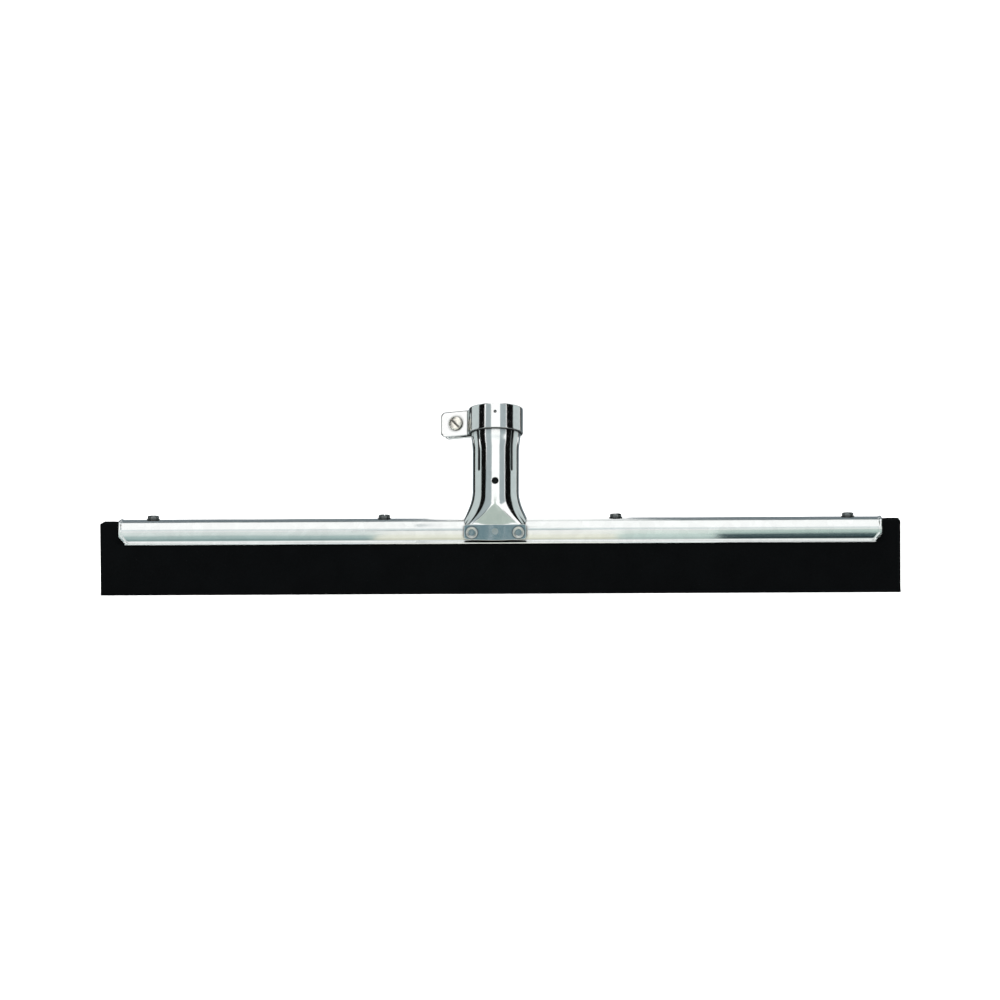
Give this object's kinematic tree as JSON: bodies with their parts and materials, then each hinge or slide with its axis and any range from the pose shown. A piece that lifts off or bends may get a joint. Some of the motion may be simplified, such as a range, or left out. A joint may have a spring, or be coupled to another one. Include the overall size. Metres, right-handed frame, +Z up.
{
  "type": "floor squeegee",
  "caption": "Floor squeegee head with a pair of foam rubber blades in a folded steel channel and a leaning, slotted tube socket closed by a screw clamp band.",
  "frame": {"origin": "middle of the front blade's bottom face, on the floor", "axes": "+X along the blades to the right, +Y to the rear (the side that the socket leans to), +Z up"},
  "size_m": [0.55, 0.0615, 0.131],
  "materials": {
    "channel_steel": "bright galvanised sheet",
    "core_plastic": "matt black",
    "blade_foam": "black closed-cell foam rubber",
    "socket_steel": "bright zinc plate",
    "band_steel": "bright zinc plate",
    "rivet_steel": "zinc plate",
    "fastener_steel": "zinc plate"
  },
  "bodies": {
    "root": {"frame_channel": "channel_steel", "core_strip": "core_plastic", "front_blade": "blade_foam", "rear_blade": "blade_foam", "channel_screw_1": "fastener_steel", "channel_screw_2": "fastener_steel", "channel_screw_3": "fastener_steel", "channel_screw_4": "fastener_steel", "screw_washer_1": "fastener_steel", "screw_washer_2": "fastener_steel", "screw_washer_3": "fastener_steel", "screw_washer_4": "fastener_steel", "socket_front": "socket_steel", "socket_rear": "socket_steel", "foot_rivet_left": "rivet_steel", "foot_rivet_right": "rivet_steel", "clamp_band": "band_steel", "clamp_washer": "fastener_steel"},
    "turning_screw": {"clamp_screw": "fastener_steel"},
    "travelling_nut": {"clamp_nut": "fastener_steel"}
  },
  "joints": [
    {"name": "screw_turn", "type": "hinge", "parent": "root", "child": "turning_screw", "pos_m": [-0.02931, 0.03846, 0.11461], "axis": [-0.342, -0.9033, 0.259], "range_deg": [0, 2700]},
    {"name": "nut_travel", "type": "slide", "parent": "root", "child": "travelling_nut", "axis": [0.342, 0.9033, -0.259], "range_m": [0, 0.006]}
  ],
  "couplings": [
    {"joint": "screw_turn", "follows": "nut_travel", "rad_per_m": 7854}
  ]
}
